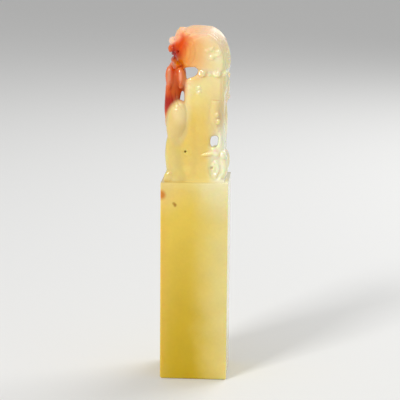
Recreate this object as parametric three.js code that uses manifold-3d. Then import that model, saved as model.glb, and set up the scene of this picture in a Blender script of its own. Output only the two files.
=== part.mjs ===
// A seal stamp carved from one block of soapstone: a tall square shaft with a bare printing
// face below, and a seated guardian lion on top, worked in the round as the knob.
// Millimetres, +Z up. The origin is the centre of the printing face, and the lion looks along -X.
// Each mesh is one carved mass, bounded by the grooves that a carver cuts around it.
import * as THREE from "three";
import { mergeVertices } from "three/addons/utils/BufferGeometryUtils.js";
import Module from "manifold-3d";

// The shaft and the slab that carries the seal's characters.
const SHAFT_SIDE = 20;
const SHAFT_HEIGHT = 58.9;
const FACE_THICKNESS = 1.5;
const FACE_CHAMFER = 0.4;

// The figure: how far it stands in from the shaft's faces, and its two main heights.
const FRONT_MARGIN = 0.2;
const BACK_MARGIN = 0.3;
const HAUNCH_MARGIN = 0.9;
const TRUNK_MARGIN = 2.1;
const BODY_HEIGHT = 32.7;
const HEAD_HEIGHT = 13;
const GROOVE = 0.3;

// The trunk, seen from the side, and the belly that bulges between the legs.
const CHEST_SETBACK = 6.3;
const CHEST_HEIGHT = 29.6;
const NECK_SETBACK = 10.1;
const BACK_SETBACK = 0.5;
const NAPE_SETBACK = 1;
const LOIN_SETBACK = 0.7;
const LAP_SETBACK = 4.4;
const LAP_HEIGHT = 22;
const TRUNK_ROUNDING = 2;
const BELLY = { reach: 3.2, width: 7.4, height: 17, foot: 3 };

// The hollow cut right through between the rump and the tail.
const HOLLOW = { setback: 13.7, low: 9.2, high: 13.1, corner: 1.5 };

// The hind legs, folded beside the trunk, and their paws.
const THIGH = { length: 7.2, width: 5.8, foot: 8, height: 15.4, knee: 0.3 };
const HIND_PAW = { length: 7.2, width: 5.8, height: 4, crest: 5.6, toe: 1.55, toes: 3 };
const SHIN = { length: 6.6, width: 5.2 };

// The forelegs, raised so that both paws meet the chin.
const FORELEG = { spread: 4.6, paw: 2.8, elbow: 2, drop: 14, lean: 0.064, flat: 0.9 };
const FORE_PAW = { length: 6.1, width: 5, height: 5.4, toe: 1.55, toes: 2, claw: 6.2 };

// The head.
const MANE = { length: 14.7, width: 17, drop: 2.4, overhang: 0.1 };
const HEAD = { setback: 3.5, length: 9.2, width: 13, jaw: 0.6, brow: 1.7, slope: 0.5 };
const HEAD_ROUNDING = { face: 2.6, cheek: 4 };
const MUZZLE = { reach: 2.2, width: 9.4, height: 3.9, rise: 5.9 };
const NOSE = { reach: 2.2, radius: 1.25, width: 5, rise: 8.3 };
const LOWER_JAW = { reach: 1.9, width: 8.4, height: 3.4, rise: 2.8 };
const BEARD = { reach: 1.3, width: 3.6, height: 5, rise: 0.2 };
const BROW = { reach: 0.2, length: 3.6, width: 5.4, height: 2.8, drop: 1.8, spread: 3 };
const EYE = { reach: 0.8, radius: 1.25, spread: 3.1, drop: 4.3 };
const EAR = { length: 4.8, width: 2.6, height: 2.2, drop: 3, setback: 9.4, lean: 0.12 };
const LOCK = { radius: 1.5, reach: 1, drop: 0.5, count: 4, setback: 2.2, spacing: 2.1 };

// The tail: two scrolls beside its root, a band that bridges the hollow, and flame-like tufts.
const SCROLL = { length: 6.5, width: 4.4, height: 9, ridge: 0.7, turns: 1.3, wound: 0.8 };
const LEAF = { length: 4.4, radius: 1.3 };
const TAIL_ROOT = { reach: 1.9, width: 8.4, height: 8.6 };
const BAND = { thickness: 2.9, width: 5.6 };
const TIP = { thickness: 2.6, width: 5.6, height: 13 };
const TUFT = { length: 4.7, width: 2.6, height: 9, rise: 14.6, setback: 1.4, lean: 0.1 };

// How finely round forms are faceted: the length of a facet, and the least facets around.
const FACET = 1.6;
const LEAST_FACETS = 10;
const CORNER_STEPS = 4;
const SCROLL_STEPS = 12;

// Longer than the seal in every direction, for what cuts right through it.
const REACH = 200;

// Corners closer than this are one corner.
const MERGE = 1e-4;

// Heights and places that several masses share.
const ledge = FACE_THICKNESS + SHAFT_HEIGHT;
const neck = ledge + BODY_HEIGHT;
const crown = neck + HEAD_HEIGHT;
const front = FRONT_MARGIN - SHAFT_SIDE / 2;
const back = SHAFT_SIDE / 2 - BACK_MARGIN;
const haunch = SHAFT_SIDE / 2 - HAUNCH_MARGIN;
const flank = SHAFT_SIDE / 2 - TRUNK_MARGIN;
const chest = front + CHEST_SETBACK;
const rump = front + HOLLOW.setback;
const face = front + HEAD.setback;

const wasm = await Module();
wasm.setup();

// A closed three.js geometry as a solid that can be joined and cut.
function solidOf(geometry) {
  const bare = new THREE.BufferGeometry();
  bare.setAttribute("position", geometry.getAttribute("position"));
  bare.setIndex(geometry.getIndex());
  const merged = mergeVertices(bare, MERGE);
  const corners = Array.from(merged.getIndex().array);
  const kept = [];
  for (let i = 0; i < corners.length; i += 3) {
    const [a, b, c] = corners.slice(i, i + 3);
    if (a !== b && b !== c && c !== a) kept.push(a, b, c);
  }
  const vertProperties = new Float32Array(merged.getAttribute("position").array);
  return new wasm.Manifold(
    new wasm.Mesh({ numProp: 3, vertProperties, triVerts: new Uint32Array(kept) }),
  );
}

// An even number of facets for a circle of a given radius.
function facets(radius) {
  return Math.max(LEAST_FACETS, 2 * Math.round((Math.PI * radius) / FACET));
}

// An egg-shaped mass: its centre, its three full sizes, and its lean towards the back.
function egg(x, y, z, length, width, height, grow, lean = 0) {
  const around = facets(Math.max(length, width) / 2);
  const along = facets(Math.max(length, width, height) / 2) / 2 + 1;
  const ball = new THREE.SphereGeometry(1, around, along);
  ball.rotateX(Math.PI / 2);
  ball.scale(length / 2 + grow, width / 2 + grow, height / 2 + grow);
  ball.rotateY(lean);
  ball.translate(x, y, z);
  return solidOf(ball);
}

// A limb with round ends from one point to another, flattened sideways.
function limb(from, to, fromRadius, toRadius, grow, flat = 1) {
  const span = from.distanceTo(to);
  const around = facets(Math.max(fromRadius, toRadius));
  const profile = new THREE.Path();
  const low = fromRadius + grow;
  const high = toRadius + grow;
  profile.absarc(0, 0, low, -Math.PI / 2, 0, false);
  profile.absarc(0, span, high, 0, Math.PI / 2, false);
  const points = profile.getPoints(around / 4);
  points[0].x = 0;
  points[points.length - 1].x = 0;
  const body = new THREE.LatheGeometry(points, around);
  body.scale(1, 1, flat);
  const along = to.clone().sub(from).normalize();
  const sideways = Math.abs(along.y) > Math.hypot(along.x, along.z);
  const across = sideways ? new THREE.Vector3(0, 0, 1) : new THREE.Vector3(0, 1, 0);
  across.addScaledVector(along, -along.dot(across)).normalize();
  const side = along.clone().cross(across);
  body.applyMatrix4(new THREE.Matrix4().makeBasis(side, along, across).setPosition(from));
  return solidOf(body);
}

// An outline drawn as a rectangle with rounded corners.
function rounded(left, low, right, high, corner) {
  const outline = new THREE.Shape();
  outline.absarc(right - corner, low + corner, corner, 1.5 * Math.PI, 2 * Math.PI, false);
  outline.absarc(right - corner, high - corner, corner, 0, 0.5 * Math.PI, false);
  outline.absarc(left + corner, high - corner, corner, 0.5 * Math.PI, Math.PI, false);
  outline.absarc(left + corner, low + corner, corner, Math.PI, 1.5 * Math.PI, false);
  return outline;
}

// A long prism over an outline, centred on the plane of that outline.
function prism(outline) {
  const body = new THREE.ExtrudeGeometry(outline, {
    depth: 2 * REACH,
    bevelEnabled: false,
    curveSegments: CORNER_STEPS,
  });
  body.translate(0, 0, -REACH);
  return body;
}

// A mass cut from the block to three outlines, as a carver blocks it out: the side view in
// X and Z, the front view in Y and Z, and the view from above in X and Y.
function blockedOut(side, ahead, plan) {
  const fromSide = solidOf(prism(side).rotateX(Math.PI / 2));
  const fromAhead = solidOf(prism(ahead).rotateX(Math.PI / 2).rotateZ(Math.PI / 2));
  return fromSide.intersect(fromAhead).intersect(solidOf(prism(plan)));
}

// A block between two corners.
function block(low, high) {
  const size = high.clone().sub(low);
  const box = new THREE.BoxGeometry(size.x, size.y, size.z);
  box.translate(low.x + size.x / 2, low.y + size.y / 2, low.z + size.z / 2);
  return solidOf(box);
}

// What is left of a mass above a level, and below one.
function above(level, mass) {
  const low = new THREE.Vector3(-REACH, -REACH, -REACH);
  return mass.subtract(block(low, new THREE.Vector3(REACH, REACH, level)));
}

function below(level, mass) {
  const high = new THREE.Vector3(REACH, REACH, REACH);
  return mass.subtract(block(new THREE.Vector3(-REACH, -REACH, level), high));
}

function printingFace() {
  const half = SHAFT_SIDE / 2;
  const outline = new THREE.Shape();
  outline.moveTo(-half, -half);
  outline.lineTo(half, -half);
  outline.lineTo(half, half);
  outline.lineTo(-half, half);
  const plate = new THREE.ExtrudeGeometry(outline, {
    depth: FACE_THICKNESS - FACE_CHAMFER,
    bevelEnabled: false,
  });
  plate.translate(0, 0, FACE_CHAMFER);
  const foot = new THREE.CylinderGeometry(
    half * Math.SQRT2,
    (half - FACE_CHAMFER) * Math.SQRT2,
    FACE_CHAMFER,
    4,
  );
  foot.rotateX(Math.PI / 2);
  foot.rotateZ(Math.PI / 4);
  foot.translate(0, 0, FACE_CHAMFER / 2);
  return solidOf(plate).add(solidOf(foot));
}

function shaft() {
  const half = SHAFT_SIDE / 2;
  return block(
    new THREE.Vector3(-half, -half, FACE_THICKNESS),
    new THREE.Vector3(half, half, ledge),
  );
}

// The trunk: lap and chest in front, neck above, and a straight back.
function trunk(grow) {
  const lap = front + LAP_SETBACK - grow;
  const chestAt = chest - grow;
  const neckFront = front + NECK_SETBACK - grow;
  const knee = ledge + LAP_HEIGHT + grow;
  const shoulder = ledge + CHEST_HEIGHT + grow;
  const top = neck + grow;
  const backAt = back - BACK_SETBACK + grow;
  const half = flank + grow;
  const round = TRUNK_ROUNDING;
  const side = new THREE.Shape();
  side.moveTo(lap, 0);
  side.lineTo(lap, knee - 2 * round);
  side.quadraticCurveTo(lap, knee - round, chestAt, knee);
  side.absarc(chestAt + round, shoulder - round, round, Math.PI, Math.PI / 2, true);
  side.quadraticCurveTo(neckFront, shoulder, neckFront, top);
  side.lineTo(backAt - NAPE_SETBACK, top);
  side.quadraticCurveTo(backAt, shoulder, backAt, shoulder - 2 * round);
  side.lineTo(backAt - LOIN_SETBACK, ledge + HOLLOW.high);
  side.lineTo(backAt - LOIN_SETBACK, 0);
  const ahead = rounded(-half, -round, half, top + round, 2 * round);
  const plan = rounded(lap, -half, backAt, half, round + grow);
  return above(ledge, blockedOut(side, ahead, plan)).subtract(hollow(-grow));
}

// The opening behind the rump, from side to side.
function hollow(grow) {
  const low = ledge + HOLLOW.low - grow;
  const high = ledge + HOLLOW.high + grow;
  const outline = rounded(rump - grow, low, REACH, high, HOLLOW.corner + grow);
  return solidOf(prism(outline).rotateX(Math.PI / 2));
}

function belly(grow) {
  const z = ledge + BELLY.foot + BELLY.height / 2;
  const x = front + LAP_SETBACK;
  return egg(x, 0, z, 2 * BELLY.reach, BELLY.width, BELLY.height, grow);
}

function thigh(side, grow) {
  const radius = THIGH.length / 2;
  const x = front + radius + GROOVE;
  const y = side * (haunch - THIGH.width / 2);
  const low = new THREE.Vector3(x, y, ledge + THIGH.foot + radius);
  const top = radius - THIGH.knee;
  const high = new THREE.Vector3(x + THIGH.knee, y, ledge + THIGH.foot + THIGH.height - top);
  return limb(low, high, radius, top, grow, THIGH.width / THIGH.length);
}

// A hind paw on the ledge, with round toes side by side at its front, and a level top.
function hindPaw(side, grow) {
  const { length, width, height, crest, toe, toes } = HIND_PAW;
  const x = front + length / 2 + GROOVE;
  const y = side * (haunch - width / 2);
  let paw = egg(x, y, ledge, length, width, 2 * crest, grow);
  for (let i = 0; i < toes; i += 1) {
    const across = (i / (toes - 1) - 0.5) * (width - 2 * toe);
    const size = 2 * toe;
    paw = paw.add(egg(front + toe, y + across, ledge + toe, size, size, size, grow));
  }
  return below(ledge + height, above(ledge, paw));
}

function shin(side, grow) {
  const radius = SHIN.length / 2;
  const x = front + radius + GROOVE;
  const y = side * (haunch - HIND_PAW.width / 2);
  const low = new THREE.Vector3(x, y, ledge);
  const high = new THREE.Vector3(x, y, ledge + THIGH.foot);
  const post = limb(low, high, radius, radius, grow, SHIN.width / SHIN.length);
  return above(ledge + HIND_PAW.height, post);
}

// The point where a foreleg ends in its paw, just under the lower jaw.
function wrist(side) {
  const x = front + FORELEG.paw + GROOVE;
  return new THREE.Vector3(x, side * FORELEG.spread, neck - FORELEG.paw);
}

function foreleg(side, grow) {
  const paw = wrist(side);
  const forward = FORELEG.drop * Math.tan(FORELEG.lean);
  const elbow = new THREE.Vector3(paw.x - forward, paw.y, paw.z - FORELEG.drop);
  return limb(elbow, paw, FORELEG.elbow, FORELEG.paw, grow, FORELEG.flat);
}

// A fore paw held upright, its toes side by side on the outer side.
function forePaw(side, grow) {
  const { length, width, height, toe, toes, claw } = FORE_PAW;
  const at = wrist(side);
  const top = neck + HEAD.jaw;
  let paw = egg(at.x, at.y, top - height / 2, length, width, height, grow);
  for (let i = 0; i < toes; i += 1) {
    const x = at.x + (i / (toes - 1) - 0.5) * (length - 2 * toe);
    const y = at.y + side * (width / 2 - toe / 2);
    paw = paw.add(egg(x, y, top - claw / 2, 2 * toe, 2 * toe, claw, grow));
  }
  return paw;
}

// The dome of combed hair behind and beside the head, flat underneath where it meets the neck.
function mane(grow) {
  const { length, width, drop, overhang } = MANE;
  const x = back + overhang - length / 2;
  const dome = egg(x, 0, neck + drop, length, width, 2 * (HEAD_HEIGHT - drop), grow);
  const half = HEAD.width / 2;
  const throat = block(
    new THREE.Vector3(-REACH, -half, neck - REACH),
    new THREE.Vector3(face + HEAD.length, half, neck + HEAD.jaw),
  );
  return above(neck, dome).subtract(throat);
}

// The skull and cheeks, a rounded block with a top line that rises to the mane.
function head(grow) {
  const low = neck + HEAD.jaw - grow;
  const high = crown - HEAD.brow + grow;
  const rear = face + HEAD.length + grow;
  const at = face - grow;
  const half = HEAD.width / 2 + grow;
  const corner = HEAD_ROUNDING.face + grow;
  const cheek = HEAD_ROUNDING.cheek + grow;
  const side = new THREE.Shape();
  side.moveTo(rear, low);
  side.lineTo(rear, high + HEAD.slope);
  side.absarc(at + corner, high - corner, corner, Math.PI / 2, Math.PI, false);
  side.absarc(at + corner, low + corner, corner, Math.PI, 1.5 * Math.PI, false);
  const ahead = rounded(-half, low, half, high + HEAD.slope, cheek);
  const plan = rounded(at, -half, rear + cheek, half, cheek);
  return blockedOut(side, ahead, plan);
}

// A mass that stands out from the face by its reach, at a height above the neck.
function onFace(part, grow) {
  const z = neck + part.rise;
  return egg(face, 0, z, 2 * part.reach, part.width, part.height, grow);
}

function nose(grow) {
  const half = NOSE.width / 2 - NOSE.radius;
  const x = face - NOSE.reach + NOSE.radius;
  const z = neck + NOSE.rise;
  const from = new THREE.Vector3(x, -half, z);
  return limb(from, new THREE.Vector3(x, half, z), NOSE.radius, NOSE.radius, grow);
}

function brow(side, grow) {
  const x = face - BROW.reach + BROW.length / 2;
  const z = crown - BROW.drop;
  return egg(x, side * BROW.spread, z, BROW.length, BROW.width, BROW.height, grow);
}

function eye(side, grow) {
  const size = 2 * EYE.radius;
  const x = face - EYE.reach + EYE.radius;
  return egg(x, side * EYE.spread, crown - EYE.drop, size, size, size, grow);
}

function ear(side, grow) {
  const y = side * (HEAD.width / 2 - GROOVE);
  const x = front + EAR.setback;
  return egg(x, y, crown - EAR.drop, EAR.length, EAR.width, EAR.height, grow, EAR.lean);
}

// One round lock of the row that hangs from the mane's edge over the neck.
function lock(side, place, grow) {
  const x = back - LOCK.setback - place * LOCK.spacing;
  const y = side * (flank + LOCK.reach - LOCK.radius);
  const size = 2 * LOCK.radius;
  return below(neck, egg(x, y, neck - LOCK.drop, size, size, size, grow));
}

// A disc beside the tail's root, with the tail's hair wound on it as a raised spiral.
function scroll(side, grow) {
  const { length, width, height, ridge, turns, wound } = SCROLL;
  const x = back - length / 2;
  const y = side * (haunch - width / 2);
  const z = ledge + height / 2;
  const disc = egg(x, y, z, length, width, height, grow);
  const path = [];
  const steps = Math.round(SCROLL_STEPS * turns);
  for (let i = 0; i <= steps; i += 1) {
    const share = 1 - (wound * i) / steps;
    const turn = (2 * Math.PI * turns * i) / steps;
    const px = x + share * (length / 2 - ridge) * Math.cos(turn);
    const py = y + side * (width / 2) * Math.sqrt(1 - wound * share);
    const pz = z + share * (height / 2 - ridge) * Math.sin(turn);
    path.push(new THREE.Vector3(px, py, pz));
  }
  const section = new THREE.Shape().absarc(0, 0, ridge + grow, 0, 2 * Math.PI, false);
  const hair = new THREE.ExtrudeGeometry(section, {
    extrudePath: new THREE.CatmullRomCurve3(path),
    steps: 2 * steps,
    curveSegments: 3,
  });
  return above(ledge, disc.add(solidOf(hair)));
}

function leaf(side, grow) {
  const y = side * (flank + LEAF.radius / 2);
  const z = ledge + SCROLL.height - LEAF.radius;
  const root = new THREE.Vector3(back - SCROLL.length + LEAF.radius, y, z);
  const tip = new THREE.Vector3(root.x - LEAF.length + LEAF.radius, y, z + GROOVE);
  return limb(root, tip, LEAF.radius, LEAF.radius / 2, grow);
}

// Where the tail leaves the rump, between the scrolls.
function tailRoot(grow) {
  const { reach, width, height } = TAIL_ROOT;
  const x = back - reach;
  return above(ledge, egg(x, 0, ledge + height / 2, 2 * reach, width, height, grow));
}

// The band that bridges the hollow, from the root up to the back.
function tailBand(grow) {
  const radius = BAND.thickness / 2;
  const x = back - BACK_SETBACK - radius;
  const low = new THREE.Vector3(x, 0, ledge + HOLLOW.low - radius);
  const high = new THREE.Vector3(x, 0, ledge + HOLLOW.high + radius);
  return limb(low, high, radius, radius, grow, BAND.width / BAND.thickness);
}

function tailTip(grow) {
  const z = ledge + HOLLOW.high + TIP.height / 2;
  return egg(back - TIP.thickness / 2, 0, z, TIP.thickness, TIP.width, TIP.height, grow);
}

function tuft(side, grow) {
  const x = back - TUFT.setback - TUFT.length / 2;
  const z = ledge + TUFT.rise + TUFT.height / 2;
  return egg(x, side * flank, z, TUFT.length, TUFT.width, TUFT.height, grow, TUFT.lean);
}

// The stone's own colours, from the honey shaft to the red skin that the carver kept for the face.
const stone = (color) => new THREE.MeshStandardMaterial({ color, roughness: 0.28, metalness: 0 });
const HONEY = stone(0xdcc26a);
const CREAM = stone(0xeeddb0);
const PALE = stone(0xefe6c4);
const ORANGE = stone(0xe2853a);
const RED = stone(0xc8501a);

const seal = new THREE.Group();
const made = [];

function addMesh(name, mass, material) {
  const mesh = mass.getMesh();
  const geometry = new THREE.BufferGeometry();
  const places = new THREE.BufferAttribute(Float32Array.from(mesh.vertProperties), 3);
  geometry.setAttribute("position", places);
  geometry.setIndex(new THREE.BufferAttribute(Uint32Array.from(mesh.triVerts), 1));
  geometry.computeVertexNormals();
  const part = new THREE.Mesh(geometry, material);
  part.name = name;
  seal.add(part);
}

// Adds a carved mass, cut back by a groove from each mass that was added before it.
function carve(name, shape, material) {
  let mass = shape(0);
  for (const earlier of made) mass = mass.subtract(earlier);
  addMesh(name, mass, material);
  made.push(shape(GROOVE));
}

// Adds a mass on the left (-Y) and its mirror image on the right (+Y).
function carvePair(name, shape, material) {
  carve(name + "_left", (grow) => shape(-1, grow), material);
  carve(name + "_right", (grow) => shape(1, grow), material);
}

addMesh("printing_face", printingFace(), HONEY);
addMesh("shaft", shaft(), HONEY);
carve("trunk", trunk, CREAM);
carve("head", head, ORANGE);
carve("mane", mane, PALE);
carvePair("thigh", thigh, CREAM);
carvePair("hind_paw", hindPaw, PALE);
carvePair("shin", shin, CREAM);
carve("belly", belly, CREAM);
carve("nose", nose, ORANGE);
carve("muzzle", (grow) => onFace(MUZZLE, grow), RED);
carve("lower_jaw", (grow) => onFace(LOWER_JAW, grow), RED);
carvePair("fore_paw", forePaw, ORANGE);
carvePair("foreleg", foreleg, RED);
carve("beard", (grow) => onFace(BEARD, grow), RED);
carvePair("brow", brow, ORANGE);
carvePair("eye", eye, ORANGE);
carvePair("ear", ear, PALE);
for (let i = 0; i < LOCK.count; i += 1) {
  carvePair("mane_lock_" + (i + 1), (side, grow) => lock(side, i, grow), PALE);
}
carve("tail_band", tailBand, PALE);
carve("tail_root", tailRoot, PALE);
carvePair("tail_scroll", scroll, PALE);
carvePair("tail_leaf", leaf, PALE);
carve("tail_tip", tailTip, PALE);
carvePair("tail_tuft", tuft, PALE);

export default seal;
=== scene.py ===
# A soapstone seal: a square polished shaft, and a seated guardian lion carved on top as its knob.
# Metres, +Z up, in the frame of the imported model. The lion looks along -X.
import math

import bpy
import numpy as np
from mathutils import Euler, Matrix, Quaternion, Vector


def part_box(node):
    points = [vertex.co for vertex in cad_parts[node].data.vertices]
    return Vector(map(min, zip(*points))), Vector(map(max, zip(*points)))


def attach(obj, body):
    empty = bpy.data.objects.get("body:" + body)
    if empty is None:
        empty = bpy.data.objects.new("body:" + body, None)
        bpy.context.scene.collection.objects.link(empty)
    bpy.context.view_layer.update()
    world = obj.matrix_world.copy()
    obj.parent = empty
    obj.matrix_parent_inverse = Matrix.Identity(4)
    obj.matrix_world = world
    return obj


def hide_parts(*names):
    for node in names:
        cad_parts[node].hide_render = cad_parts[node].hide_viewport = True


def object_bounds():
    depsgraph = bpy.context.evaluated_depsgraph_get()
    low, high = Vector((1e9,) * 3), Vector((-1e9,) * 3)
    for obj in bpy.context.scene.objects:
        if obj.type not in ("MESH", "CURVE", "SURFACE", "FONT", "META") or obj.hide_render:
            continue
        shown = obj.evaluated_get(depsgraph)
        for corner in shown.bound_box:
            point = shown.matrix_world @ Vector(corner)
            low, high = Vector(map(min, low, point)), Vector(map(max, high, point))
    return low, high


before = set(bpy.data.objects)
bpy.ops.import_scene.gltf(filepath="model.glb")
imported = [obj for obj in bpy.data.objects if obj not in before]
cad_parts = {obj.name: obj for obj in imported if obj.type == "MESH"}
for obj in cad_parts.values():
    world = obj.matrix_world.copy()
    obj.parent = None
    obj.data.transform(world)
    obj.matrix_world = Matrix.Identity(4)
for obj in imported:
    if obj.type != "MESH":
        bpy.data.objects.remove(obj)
cad_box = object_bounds()

# Table and light. The seal stands on a wide pale table in a bright room, under a soft lamp from the
# front left and a larger one from behind on the right, which shines along the stone's edges.
TABLE_SIZE = 12.0
TABLE_COLOUR = (0.80, 0.80, 0.79, 1.0)
TABLE_ROUGHNESS = 0.7
ROOM_COLOUR = (1.0, 1.0, 1.0, 1.0)
ROOM_STRENGTH = 0.50
KEY_PLACE = Vector((-0.42, -0.61, 0.64))
KEY_POWER = 4.35
KEY_SIZE = 0.22
RIM_PLACE = Vector((0.34, 0.40, 0.50))
RIM_POWER = 2.3
RIM_SIZE = 0.5
LAMPS = ((KEY_PLACE, KEY_POWER, KEY_SIZE), (RIM_PLACE, RIM_POWER, RIM_SIZE))
LAMP_AIM = Vector((0.0, 0.0, 0.06))


def start_piece():
    """Leaves object mode with nothing selected, so that an operator only acts on what comes next."""
    if bpy.context.mode != "OBJECT":
        bpy.ops.object.mode_set(mode="OBJECT")
    bpy.ops.object.select_all(action="DESELECT")


start_piece()
bpy.ops.mesh.primitive_plane_add(size=TABLE_SIZE)
table = bpy.context.object
table.name = "table"
paper = bpy.data.materials.new("table_paper")
paper.use_nodes = True
paper_shader = paper.node_tree.nodes["Principled BSDF"]
paper_shader.inputs["Base Color"].default_value = TABLE_COLOUR
paper_shader.inputs["Roughness"].default_value = TABLE_ROUGHNESS
table.data.materials.append(paper)

for lamp_place, lamp_power, lamp_size in LAMPS:
    aim = (LAMP_AIM - lamp_place).to_track_quat("-Z", "Y").to_euler()
    bpy.ops.object.light_add(type="AREA", location=lamp_place, rotation=aim)
    lamp = bpy.context.object.data
    lamp.shape = "SQUARE"
    lamp.size = lamp_size
    lamp.energy = lamp_power

room = bpy.data.worlds.new("room")
bpy.context.scene.world = room
room.use_nodes = True
room.node_tree.nodes["Background"].inputs["Color"].default_value = ROOM_COLOUR
room.node_tree.nodes["Background"].inputs["Strength"].default_value = ROOM_STRENGTH
bpy.context.scene.view_settings.view_transform = "Standard"

# The camera: a long lens a little above the seal and a little to its right, as in the photograph.
CAMERA_PLACE = Vector((0.02719, -0.44342, 0.14371))
CAMERA_DOWN = math.radians(11.493)
CAMERA_LEFT = math.radians(3.361)
CAMERA_ROLL = math.radians(0.494)
LENS = 135.0
SENSOR = 36.0
NEAREST = 0.01

aim = Euler((math.pi / 2 - CAMERA_DOWN, 0.0, CAMERA_LEFT)).to_quaternion()
aim = aim @ Quaternion((0.0, 0.0, 1.0), CAMERA_ROLL)
bpy.ops.object.camera_add(location=CAMERA_PLACE, rotation=aim.to_euler())
camera = bpy.context.object
camera.data.lens = LENS
camera.data.sensor_width = SENSOR
camera.data.clip_start = NEAREST
bpy.context.scene.camera = camera


# The shaft. The lower part of the block, sawn square, ground flat and polished with wax, with its
# edges just broken and a wider chamfer round the printing face. It is translucent honey stone.
MM = 0.001
SHAFT_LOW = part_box("printing_face")[0]
SHAFT_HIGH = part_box("shaft")[1]
FACE_CHAMFER = 0.4 * MM
EDGE_BREAK = 0.22 * MM
EDGE_STEPS = 3
EDGE_FULLNESS = 0.6
SHARP_FROM = math.radians(35)


def settle(piece):
    """Puts a piece's place, turn and size into its mesh."""
    start_piece()
    piece.select_set(True)
    bpy.context.view_layer.objects.active = piece
    bpy.ops.object.transform_apply(location=True, rotation=True, scale=True)


start_piece()
bpy.ops.mesh.primitive_cube_add(
    size=1.0, location=(SHAFT_LOW + SHAFT_HIGH) / 2, scale=SHAFT_HIGH - SHAFT_LOW
)
shaft = bpy.context.object
shaft.name = "polished_shaft"
settle(shaft)


def choose_edges(piece, wanted):
    """Selects the edges of a piece whose two ends both pass a test, and opens edit mode."""
    start_piece()
    piece.select_set(True)
    bpy.context.view_layer.objects.active = piece
    bpy.ops.object.mode_set(mode="EDIT")
    bpy.ops.mesh.select_mode(type="EDGE")
    bpy.ops.mesh.select_all(action="DESELECT")
    bpy.ops.object.mode_set(mode="OBJECT")
    ends = piece.data.vertices
    for edge in piece.data.edges:
        edge.select = all(wanted(ends[i].co) for i in edge.vertices)
    bpy.ops.object.mode_set(mode="EDIT")


choose_edges(shaft, lambda place: place.z < SHAFT_LOW.z + FACE_CHAMFER)
bpy.ops.mesh.bevel(offset=FACE_CHAMFER, segments=1, affect="EDGES")
bpy.ops.mesh.select_all(action="SELECT")
bpy.ops.mesh.bevel(
    offset=EDGE_BREAK, segments=EDGE_STEPS, profile=EDGE_FULLNESS, affect="EDGES"
)
bpy.ops.object.mode_set(mode="OBJECT")
bpy.ops.object.shade_smooth_by_angle(angle=SHARP_FROM)


def paint(red, green, blue):
    """A colour as a shader takes it, from the 0 to 255 values that a picture shows."""
    shares = (red / 255, green / 255, blue / 255)
    return (*(s / 12.92 if s <= 0.04045 else ((s + 0.055) / 1.055) ** 2.4 for s in shares), 1.0)


def put(tree, kind, *feeds, **settings):
    """Adds a node to a tree and feeds its inputs in order, each by a link or a value."""
    node = tree.nodes.new("ShaderNode" + kind)
    for name, value in settings.items():
        setattr(node, name, value)
    for socket, feed in zip(node.inputs, feeds):
        if isinstance(feed, bpy.types.NodeSocket):
            tree.links.new(feed, socket)
        elif feed is not None:
            socket.default_value = feed
    return node


def new_group(name, inputs, outputs):
    """Starts a node group with named sockets, and gives it with its two ends."""
    tree = bpy.data.node_groups.new(name, "ShaderNodeTree")
    for label, kind in inputs:
        tree.interface.new_socket(label, in_out="INPUT", socket_type="NodeSocket" + kind)
    for label, kind in outputs:
        tree.interface.new_socket(label, in_out="OUTPUT", socket_type="NodeSocket" + kind)
    return tree, tree.nodes.new("NodeGroupInput"), tree.nodes.new("NodeGroupOutput")


# Zone: where one colour lies on the stone, whether the stone's own colour or painted light and shade,
# an ellipsoid with a soft and slightly uneven edge. The noises of this and the next two groups are
# given by their scale, detail and roughness.
ZONE_NOISE = (130.0, 3.0, 0.55)
zone, zone_in, zone_out = new_group(
    "stone_zone",
    (("Centre", "Vector"), ("Reach", "Vector"), ("Softness", "Float"), ("Warp", "Float")),
    (("Mask", "Float"),),
)
place = put(zone, "TexCoord").outputs["Object"]
noise = put(zone, "TexNoise", place, None, *ZONE_NOISE)
warp = put(zone, "VectorMath", noise.outputs["Color"], (0.5, 0.5, 0.5), operation="SUBTRACT")
warp = put(zone, "VectorMath", warp.outputs[0], operation="SCALE")
zone.links.new(zone_in.outputs["Warp"], warp.inputs["Scale"])
moved = put(zone, "VectorMath", place, warp.outputs[0], operation="ADD")
away = put(zone, "VectorMath", moved.outputs[0], zone_in.outputs["Centre"], operation="SUBTRACT")
share = put(zone, "VectorMath", away.outputs[0], zone_in.outputs["Reach"], operation="DIVIDE")
far = put(zone, "VectorMath", share.outputs[0], operation="LENGTH").outputs["Value"]
inner = put(zone, "Math", 1.0, zone_in.outputs["Softness"], operation="SUBTRACT").outputs[0]
outer = put(zone, "Math", 1.0, zone_in.outputs["Softness"], operation="ADD").outputs[0]
edge = put(zone, "MapRange", far, inner, outer, 1.0, 0.0, interpolation_type="SMOOTHSTEP")
zone.links.new(edge.outputs[0], zone_out.inputs["Mask"])

# Cloud: the faint cloudiness of the stone, broad and fine, that lightens or darkens a colour. The
# middle values of each noise are spread over the shades that it gives.
BROAD_NOISE = (120.0, 4.0, 0.6)
BROAD_SHADES = (0.96, 1.04)
FINE_NOISE = (1100.0, 3.0, 0.6)
FINE_SHADES = (0.98, 1.02)
NOISE_MIDDLE = (0.3, 0.7)
cloud, cloud_in, cloud_out = new_group(
    "stone_cloud", (("Colour", "Color"),), (("Colour", "Color"),)
)
place = put(cloud, "TexCoord").outputs["Object"]
broad = put(cloud, "TexNoise", place, None, *BROAD_NOISE).outputs["Fac"]
broad = put(cloud, "MapRange", broad, *NOISE_MIDDLE, *BROAD_SHADES).outputs[0]
fine = put(cloud, "TexNoise", place, None, *FINE_NOISE).outputs["Fac"]
fine = put(cloud, "MapRange", fine, *NOISE_MIDDLE, *FINE_SHADES).outputs[0]
both = put(cloud, "Math", broad, fine, operation="MULTIPLY").outputs[0]
tint = put(cloud, "VectorMath", cloud_in.outputs[0], operation="SCALE")
cloud.links.new(both, tint.inputs["Scale"])
cloud.links.new(tint.outputs[0], cloud_out.inputs[0])

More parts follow.
